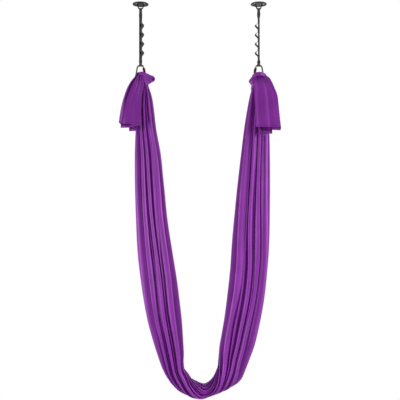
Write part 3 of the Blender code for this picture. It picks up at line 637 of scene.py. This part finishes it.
def paint_shadow_on_inner_layers(cloth, width):
    """Paint the shadow of the front layer on the few layers that show under it, down to their hems.
    """
    layer = width / TAIL_LAYERS
    first, last = PAINTED_SHADOW_ROWS
    for face in cloth.data.polygons:
        row, column = divmod(face.vertices[0], width)
        # Faces of the second to fifth layers between these rows take the darker tricot: painted
        # shadow
        face.material_index = int(layer < column < 5 * layer and first < row < last)


def folded(turns):
    """Soft folds between -1 and 1, rounder towards the viewer than in their valleys."""
    wave = np.sin(2 * math.pi * turns)
    return wave - 0.28 * np.cos(4 * math.pi * turns)


def hem_stitches(name, line, radius=0.0011, long=0.009, every=0.0120):
    """Short stitches of thread that hold the turned hem, along a line across the cloth."""
    runs = np.concatenate([[0], np.cumsum(np.linalg.norm(np.diff(line, axis=0), axis=1))])
    starts = np.arange(0.003, runs[-1] - long, every)
    sides = 6
    angle = np.linspace(0, 2 * math.pi, sides, endpoint=False)
    points, faces = [], []
    for start in starts:
        spots = np.array([[np.interp(start + long * step, runs, line[:, axis]) for axis in range(3)]
                          for step in (0, 0.15, 0.5, 0.85, 1)])
        base = len(points)
        for spot, size in zip(spots, (0.3, 0.9, 1, 0.9, 0.3)):
            points += [tuple(spot + (0, radius * size * math.cos(a), radius * size * math.sin(a)))
                       for a in angle]
        for step in range(4):
            ring = base + sides * step
            faces += [(ring + k, ring + (k + 1) % sides, ring + sides + (k + 1) % sides,
                       ring + sides + k) for k in range(sides)]
        faces += [tuple(base + k for k in reversed(range(sides))),
                  tuple(base + 4 * sides + k for k in range(sides))]
    mesh = bpy.data.meshes.new(name)
    mesh.from_pydata(points, [], faces)
    return smooth_object(name, mesh)


class SILK_OT_tails(bpy.types.Operator):
    """The two free ends of the cloth that hang in flat layers over the knots"""

    bl_idname = "silk.tails"
    bl_label = "Free tails"

    def execute(self, context):
        for side, plan in TAILS.items():
            rows = tail_rows(**plan)
            cloth = grid_object(f"{side}_tail_cloth", rows)
            # The tails take a darker copy of the tricot, at 0.80: painted shade for their pleated
            # front
            cloth.data.materials.append(nylon_tricot("dyed_nylon_tricot_painted_shade", 0.80))
            # The inner layers under the front one take a much darker copy, at 0.36: painted shadow
            # of the front layer
            cloth.data.materials.append(nylon_tricot("dyed_nylon_tricot_painted_shadow", 0.36))
            paint_shadow_on_inner_layers(cloth, rows.shape[1])
            seam = hem_stitches(f"{side}_hem_stitches", rows[HEM_ROW])
            seam.data.materials.append(sewing_thread())
            for piece in (cloth, seam):
                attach(piece, "hammock")
                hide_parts(f"{side}_silk_tail")
        return {"FINISHED"}


def rolled_rows(path, radii, level, ridges, seed, around=132, along=110):
    """Rows of a gathered roll of cloth along a path.

    A radius pair is measured along the level axis, carried along the path, and square to it.
    """
    share = np.linspace(0, 1, along)
    place = smooth_rows(path, share)
    size = smooth_rows(radii, share)
    tangent = np.gradient(place, axis=0)
    tangent /= np.linalg.norm(tangent, axis=1)[:, None]
    first = [np.array(level, float)]
    for step in tangent:
        carried = first[-1] - step * first[-1].dot(step)
        first.append(carried / np.linalg.norm(carried))
    first = np.array(first[1:])
    second = np.cross(tangent, first)
    angle = np.linspace(0, 2 * math.pi, around, endpoint=False)
    phase = ridges * (angle[None] + 0.35 * waves(seed, share, 0.6)[:, None])
    reach = 0.78 + 0.22 * np.abs(np.sin(phase / 2)) ** 0.6
    fine = phase * 1.5 + 2 * waves(seed + 1, share)[:, None]
    reach = reach - 0.05 * (1 - np.abs(np.sin(fine)) ** 0.6)
    reach = reach + 0.05 * waves(seed + 3, share)[:, None] * np.cos(angle)[None]
    closed = np.clip(np.minimum(share, 1 - share) / 0.05, 0, 1)[:, None]
    reach = reach * np.sqrt(closed * (2 - closed))
    x = reach * np.cos(angle)[None] * size[:, :1]
    y = reach * np.sin(angle)[None] * size[:, 1:]
    return place[:, None] + x[..., None] * first[:, None] + y[..., None] * second[:, None]


def ear_rows(stations, yaw, lip, ridges, seed, around=144, along=120):
    """Rows of a loop of cloth that fans out of a knot in pleats, and ends in a rolled lip.

    A station is pixel across, pixel down, depth, half height and half depth. The pleats have run
    out where lip, a share of the length, is reached.
    """
    share = np.linspace(0, 1, along)
    px, py, depth, high, deep = smooth_rows(stations, share).T
    place = np.array([at_pixel(*point) for point in zip(px, py, depth)])
    angle = np.linspace(0, 2 * math.pi, around, endpoint=False)
    phase = ridges * angle[None] / 2 + 0.5 * waves(seed, share, 0.5)[:, None]
    smoothed = np.clip((share - 0.30) / (lip - 0.30), 0, 1)[:, None] ** 0.8
    reach = 1 - 0.36 * (1 - 0.80 * smoothed) * (1 - np.abs(np.sin(phase)) ** 0.7) - 0.10 * smoothed
    reach = reach + 0.05 * np.cos(2 * angle[None] + 2 * waves(seed + 2, share, 0.4)[:, None])
    closed = np.sqrt(np.clip(np.minimum(share, 1 - share) / 0.04, 0, 1))[:, None]
    rise = reach * closed * np.sin(angle)[None] * high[:, None]
    out = reach * closed * np.cos(angle)[None] * deep[:, None]
    aside = np.array(Vector((math.sin(yaw), math.cos(yaw), 0)))
    place = place[:, None] + rise[..., None] * np.array((0, 0, 1.0))
    return place + out[..., None] * aside


# The cloth of each knot: pixel across, pixel down and depth along the core, which comes up from
# the sling and goes forward through the carabiner into the tail, and along the wrap, which goes
# round that core. The ear is the loop left standing out of the knot on the inner side.
KNOTS = {
    "left": {
        "core": (
            (144.6, 93.0, 0.024), (144.6, 87.0, 0.022), (143.2, 81.4, 0.014), (141.4, 77.6, 0.000),
            (140.4, 76.0, -0.028), (139.6, 77.4, -0.048), (139.0, 83.0, -0.050),
        ),
        "core_radii": (
            (0.032, 0.026), (0.030, 0.026), (0.028, 0.022), (0.022, 0.017),
            (0.022, 0.018), (0.028, 0.016), (0.034, 0.012),
        ),
        "wrap": (
            (135.8, 79.0, -0.050), (136.4, 76.9, -0.026), (137.4, 76.4, 0.002),
            (139.8, 76.8, 0.026), (143.0, 77.8, 0.034), (146.2, 78.8, 0.024),
            (147.6, 79.8, 0.000), (147.2, 80.8, -0.024), (145.6, 82.4, -0.044),
        ),
        "wrap_radii": (
            (0.010, 0.009), (0.014, 0.013), (0.017, 0.015), (0.019, 0.016),
            (0.021, 0.017), (0.021, 0.016), (0.021, 0.016), (0.020, 0.014), (0.014, 0.010),
        ),
        "ear": (
            (139.4, 73.2, -0.052, 0.010, 0.010), (141.2, 74.0, -0.056, 0.018, 0.014),
            (143.6, 76.4, -0.058, 0.032, 0.018), (146.2, 78.7, -0.056, 0.042, 0.022),
            (148.6, 78.9, -0.050, 0.038, 0.024), (151.0, 78.8, -0.046, 0.029, 0.023),
            (152.8, 78.9, -0.046, 0.023, 0.021), (152.9, 79.1, -0.046, 0.016, 0.017),
            (150.8, 79.2, -0.042, 0.012, 0.015), (147.0, 79.0, -0.036, 0.008, 0.010),
        ),
        "yaw": 0.85,
        "lip": 0.66,
    },
    "right": {
        "core": (
            (255.2, 93.0, 0.024), (255.2, 87.0, 0.022), (256.4, 81.4, 0.014), (258.0, 77.6, 0.000),
            (259.0, 76.4, -0.026), (260.0, 78.4, -0.038), (261.0, 83.0, -0.042),
        ),
        "core_radii": (
            (0.030, 0.026), (0.029, 0.026), (0.027, 0.022), (0.022, 0.017),
            (0.024, 0.015), (0.032, 0.012), (0.038, 0.010),
        ),
        "wrap": (
            (253.4, 80.2, -0.026), (253.4, 77.4, -0.052), (255.2, 74.8, -0.070),
            (258.6, 73.7, -0.076), (262.0, 73.9, -0.070), (264.6, 75.6, -0.048),
            (265.0, 78.4, -0.014), (262.8, 80.2, 0.020), (258.8, 80.6, 0.034),
            (255.2, 80.6, 0.024),
        ),
        "wrap_radii": (
            (0.010, 0.010), (0.013, 0.012), (0.014, 0.013), (0.014, 0.013), (0.014, 0.013),
            (0.015, 0.014), (0.016, 0.015), (0.018, 0.015), (0.018, 0.016), (0.012, 0.012),
        ),
        "ear": (
            (257.0, 80.0, -0.034, 0.010, 0.007), (255.8, 80.4, -0.044, 0.024, 0.012),
            (254.4, 80.9, -0.052, 0.044, 0.017), (253.0, 81.3, -0.050, 0.045, 0.020),
            (251.4, 81.3, -0.048, 0.030, 0.019), (250.0, 81.2, -0.046, 0.017, 0.015),
            (249.3, 81.2, -0.045, 0.009, 0.009), (250.2, 81.2, -0.046, 0.005, 0.006),
        ),
        "yaw": -0.35,
        "lip": 0.80,
    },
}


class SILK_OT_knots(bpy.types.Operator):
    """The core, the wrap and the ear of cloth that knot the sling into each carabiner"""

    bl_idname = "silk.knots"
    bl_label = "Knots"

    def execute(self, context):
        for side, plan in KNOTS.items():
            forms = {"knot_ear": ear_rows(plan["ear"], plan["yaw"], plan["lip"], 9, 5 + len(side))}
            for word, level, ridges in (("core", (1, 0, 0), 9), ("wrap", (0, 0, 1), 7)):
                path = [tuple(at_pixel(*point)) for point in plan[word]]
                radii = plan[f"{word}_radii"]
                forms[f"knot_{word}"] = rolled_rows(path, radii, level, ridges, ridges + len(side))
            for word, rows in forms.items():
                roll = grid_object(f"{side}_{word}", rows, closed=True)
                roll.data.materials.append(nylon_tricot())
                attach(roll, "hammock")
                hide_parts(f"{side}_silk_knot")
        return {"FINISHED"}


# Straps

STRAP_TWISTS = {"left": math.radians(45), "right": math.radians(-70)}
WEB_WIDTH = 0.025
WEB_END_WIDTH = 0.019
WEB_THICKNESS = 0.0022
STRAND_OFFSET = 0.00125
# The eye's rod and the carabiner's crown, round which the strap's end loops run
EYE_ROD_Z = -0.038
EYE_LOOP_RADIUS = 0.0077
CARABINER_ROD_Z = -0.4296
CARABINER_LOOP_RADIUS = 0.008384
TOP_TACK_Z = -0.121
POCKET_PITCH = 0.064
TACK_PLACES = tuple(TOP_TACK_Z - POCKET_PITCH * index for index in range(5))
TACK_HEIGHT = 0.012
# Where the strap's end loops have closed on the first and the last tack
CLOSED_TOP = TACK_PLACES[0] + TACK_HEIGHT
CLOSED_LOW = TACK_PLACES[-1] - TACK_HEIGHT
POCKET_MARGIN = 0.0069
# How far the webbing's edges rise where it cups in the eye, and fall over the carabiner's crown
EYE_CUP = 0.0022
CARABINER_CUP = -0.0024


def eased(share):
    """A share from 0 to 1 that starts and stops gently."""
    share = max(0.0, min(1.0, share))
    return share * share * (3 - 2 * share)


def strap_spread(z):
    """Half the distance between the two strands where no pocket stands out."""
    top = eased((z - CLOSED_TOP) / (EYE_ROD_Z - CLOSED_TOP))
    low = eased((CLOSED_LOW - z) / (CLOSED_LOW - CARABINER_ROD_Z))
    return (STRAND_OFFSET + (EYE_LOOP_RADIUS - STRAND_OFFSET) * top
            + (CARABINER_LOOP_RADIUS - STRAND_OFFSET) * low)


def strap_set(z):
    """How fully the strap is turned and laid out flat: 0 in its end loops and 1 at its tacks."""
    top = EYE_ROD_Z - EYE_LOOP_RADIUS
    low = CARABINER_ROD_Z + CARABINER_LOOP_RADIUS
    return eased((top - z) / (top - CLOSED_TOP)) * eased((z - low) / (CLOSED_LOW - low))


def strap_path(pocket_depth):
    """The closed loop of webbing as (offset towards the pockets, height)."""
    turn = [math.pi * step / 24 for step in range(25)]
    lead = 40
    last = TACK_PLACES[-1]
    top_run = [EYE_ROD_Z + (TACK_PLACES[0] - EYE_ROD_Z) * step / lead for step in range(1, lead)]
    low_run = [last + (CARABINER_ROD_Z - last) * step / lead for step in range(1, lead)]
    path = [(-EYE_LOOP_RADIUS * math.cos(angle), EYE_ROD_Z + EYE_LOOP_RADIUS * math.sin(angle))
            for angle in turn]
    path += [(strap_spread(z), z) for z in top_run]
    for index, z in enumerate(TACK_PLACES):
        path += [(STRAND_OFFSET, z + POCKET_MARGIN * step) for step in (1, 0.5, 0, -0.5, -1)]
        if index + 1 < len(TACK_PLACES):
            span = TACK_PLACES[0] - TACK_PLACES[1] - 2 * POCKET_MARGIN
            for step in range(1, 28):
                share = step / 28
                out = pocket_depth * math.sin(math.pi * share**1.05) ** 1.6
                path.append((STRAND_OFFSET + out, z - POCKET_MARGIN - span * share))
    path += [(strap_spread(z), z) for z in low_run]
    path += [(CARABINER_LOOP_RADIUS * math.cos(angle),
              CARABINER_ROD_Z - CARABINER_LOOP_RADIUS * math.sin(angle)) for angle in turn]
    path += [(-strap_spread(z), z) for z in reversed(low_run)]
    # The load strand runs straight from the lowest tack to the highest in steps of 8 mm
    path += [(-STRAND_OFFSET, last + 0.008 * step) for step in range(33)]
    path += [(-strap_spread(z), z) for z in reversed(top_run)]
    return path


def strap_point(side, twist, across, offset, z):
    """A place on a strap, turned about its own middle line by its share of the twist."""
    angle = twist * strap_set(z)
    return Vector((
        side * ANCHOR_X + across * math.cos(angle) + offset * math.sin(angle),
        across * math.sin(angle) - offset * math.cos(angle),
        z,
    ))


def webbing_section():
    """Flat woven webbing from its side: rounded selvedges, raised rib lines and a soft crown."""
    across = np.concatenate([[-1.0, -0.97], np.linspace(-0.92, 0.92, 33), [0.97, 1.0]])
    ribs = 0.86 + 0.14 * np.cos(across * math.pi * 8)
    thick = np.sqrt(np.clip(1 - np.abs(across) ** 14, 0, 1)) * ribs
    upper = [(a, t) for a, t in zip(across, thick)]
    return upper + [(a, -t) for a, t in reversed(upper[1:-1])]


class SILK_OT_straps(bpy.types.Operator):
    """The daisy-chain straps of sewn webbing and the stitched bar tacks between their pockets"""

    bl_idname = "silk.straps"
    bl_label = "Straps"

    def execute(self, context):
        size = context.scene.silk_strap
        path = strap_path(size.pocket_depth)
        section = webbing_section()
        webbing = polyester_webbing()
        thread = bonded_thread()
        for word, side in (("left", -1), ("right", 1)):
            twist = STRAP_TWISTS[word]
            rows = []
            for index, (offset, z) in enumerate(path):
                before, after = path[index - 1], path[(index + 1) % len(path)]
                along = Vector((after[0] - before[0], after[1] - before[1])).normalized()
                out = Vector((-along.y, along.x)) * WEB_THICKNESS / 2
                flat = strap_set(z)
                half = (WEB_END_WIDTH + (WEB_WIDTH - WEB_END_WIDTH) * flat) / 2
                cup = (EYE_CUP if z > TACK_PLACES[2] else CARABINER_CUP) * (1 - flat)
                rows.append([strap_point(side, twist, across * half, offset + out.x * up, z)
                             + Vector((0, 0, out.y * up + cup * across**2))
                             for across, up in section])
            rows.append(rows[0])
            strap = grid_object(f"{word}_webbing", np.array(rows), closed=True)
            strap.data.materials.append(webbing)
            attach(strap, f"{word}_strap")
            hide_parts(f"{word}_daisy_chain_strap")
            for index, z in enumerate(TACK_PLACES):
                tack = stitched_tack(f"{word}_tack_stitch_{index + 1}", side, twist, z,
                                     size.stitch_passes)
                tack.data.materials.append(thread)
                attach(tack, f"{word}_strap")
                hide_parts(f"{word}_bar_tack_{index + 1}")
        return {"FINISHED"}


def stitched_tack(name, side, twist, z, passes):
    """A bar tack: thread sewn to and fro across both faces of the two strands."""
    around, radius = 6, 0.00062
    reach = 0.92 * WEB_WIDTH / 2
    lift = STRAND_OFFSET + WEB_THICKNESS / 2 + 0.0002
    low = TACK_HEIGHT / 2 - radius
    line = []
    for way in (1, -1):
        for step in range(2 * passes + 1):
            end = 1 if step % 2 == 0 else -1
            line.append((end * reach, lift * way, z + (low - 2 * low * step / (2 * passes)) * way))
    rows = []
    line = [line[0], *line, line[-1]]
    for index, point in enumerate(line):
        thick = 0 if index in (0, len(line) - 1) else radius
        for angle in range(around):
            turn = 2 * math.pi * angle / around
            flat = strap_point(side, twist, point[0], point[1] + thick * math.cos(turn), point[2])
            rows.append(flat + Vector((0, 0, thick * math.sin(turn))))
    return grid_object(name, np.array(rows).reshape(len(line), around, 3), closed=True)


# Hardware


class SILK_OT_hardware(bpy.types.Operator):
    """Finishes of the plates, eyes, screws, carabiners, gates and sleeves"""

    bl_idname = "silk.hardware"
    bl_label = "Steel and alloy parts"

    def execute(self, context):
        screws = [f"plate_screw_{index}" for index in (1, 2, 3, 4)]
        finishes = {word: make() for make, words in (
            (powder_coated_steel, ("ceiling_plate", "anchor_eye")),
            (forged_steel, ("carabiner_frame", "carabiner_gate")),
            (zinc_plated_steel, ("gate_rivet", "gate_plunger", "gate_spring", *screws)),
            (red_anodised_aluminium, ("screw_sleeve",)),
        ) for word in words}
        for side in ("left", "right"):
            for word, made in finishes.items():
                dress(f"{side}_{word}", made)
        return {"FINISHED"}


# Stage


def area_light(name, place, aim, size, power):
    """A soft rectangular light of a width and height, aimed at a place, with a power in watts."""
    lamp = bpy.data.lights.new(name, "AREA")
    lamp.shape = "RECTANGLE"
    lamp.size, lamp.size_y = size
    lamp.energy = power
    obj = bpy.data.objects.new(name, lamp)
    obj.location = place
    obj.rotation_euler = (Vector(aim) - Vector(place)).to_track_quat("-Z", "Y").to_euler()
    bpy.context.scene.collection.objects.link(obj)
    return obj


class SILK_OT_stage(bpy.types.Operator):
    """Camera, soft lights, pale floor and white surroundings"""

    bl_idname = "silk.stage"
    bl_label = "Stage"

    def execute(self, context):
        scene = context.scene
        lens = bpy.data.cameras.new("photo_camera")
        lens.lens = CAMERA_LENS
        lens.sensor_width = CAMERA_SENSOR
        camera = bpy.data.objects.new("photo_camera", lens)
        camera.location = at_pixel(PHOTO_MIDDLE, PHOTO_MIDDLE) + Vector((0, -CAMERA_DISTANCE, 0))
        camera.rotation_euler = (math.radians(90), 0, 0)
        scene.collection.objects.link(camera)
        scene.camera = camera

        corners = [[(x, y, FLOOR_Z) for x in (-1.9, 1.9)] for y in (-1.6, 0.7)]
        floor = grid_object("stage_floor", np.array(corners))
        pale, *_ = new_material("pale_floor", {"Base Color": (*linear("#ededed"), 1),
                                               "Roughness": 0.9})
        floor.data.materials.append(pale)

        world = bpy.data.worlds.new("studio")
        scene.world = world
        world.use_nodes = True
        tree = world.node_tree
        tree.nodes.clear()
        path = add_node(tree, "ShaderNodeLightPath")
        # The white surroundings are dimmer where they light the cloth
        seen = path.outputs["Is Camera Ray"]
        for ray in ("Is Glossy Ray", "Is Transmission Ray"):
            seen = add_node(tree, "ShaderNodeMath", {"operation": "ADD", "use_clamp": True},
                            {0: seen, 1: path.outputs[ray]}).outputs[0]
        dim, bright = (add_node(tree, "ShaderNodeBackground",
                                {"Color": (1, 1, 1, 1), "Strength": strength}).outputs[0]
                       for strength in (0.34, 1.0))
        mix = add_node(tree, "ShaderNodeMixShader", None, {0: seen, 1: dim, 2: bright})
        add_node(tree, "ShaderNodeOutputWorld", None, {0: mix.outputs[0]})

        area_light("right_softbox", (3.9, -2.0, -1.0), (0, 0, -1.6), (0.9, 2.0), 165)
        area_light("left_softbox", (-3.7, -2.0, -2.2), (0, 0, -1.9), (1.2, 2.2), 130)
        area_light("back_softbox", (0.8, 3.6, -0.2), (0, 0, -1.4), (2.0, 2.4), 60)
        scene.view_settings.view_transform = "Standard"
        return {"FINISHED"}


class SILK_PT_panel(bpy.types.Panel):
    """Buttons that build each part of the dressed silks"""

    bl_idname = "SILK_PT_panel"
    bl_label = "Aerial silks"
    bl_space_type = "VIEW_3D"
    bl_region_type = "UI"
    bl_category = "Silks"

    def draw(self, context):
        for place, group in SETTINGS.items():
            column = self.layout.box()
            for name in group.__annotations__:
                column.prop(getattr(context.scene, place), name)
        for step in OPERATORS:
            self.layout.operator(step.bl_idname)


OPERATORS = (SILK_OT_stage, SILK_OT_sling, SILK_OT_tails, SILK_OT_knots, SILK_OT_straps,
             SILK_OT_hardware)
SETTINGS = {"silk_cloth": SilkClothSettings, "silk_strap": SilkStrapSettings,
            "silk_hardware": SilkHardwareSettings}


def register():
    """Make the settings, operators and panel known to Blender."""
    for made in (*SETTINGS.values(), *OPERATORS, SILK_PT_panel):
        bpy.utils.register_class(made)
    for place, group in SETTINGS.items():
        setattr(bpy.types.Scene, place, PointerProperty(type=group))


def unregister():
    """Take them away again."""
    for place in SETTINGS:
        delattr(bpy.types.Scene, place)
    for made in reversed((*SETTINGS.values(), *OPERATORS, SILK_PT_panel)):
        bpy.utils.unregister_class(made)


def main():
    """Build every piece."""
    register()
    for step in OPERATORS:
        group, name = step.bl_idname.split(".")
        getattr(getattr(bpy.ops, group), name)()


if __name__ == "__main__":
    main()
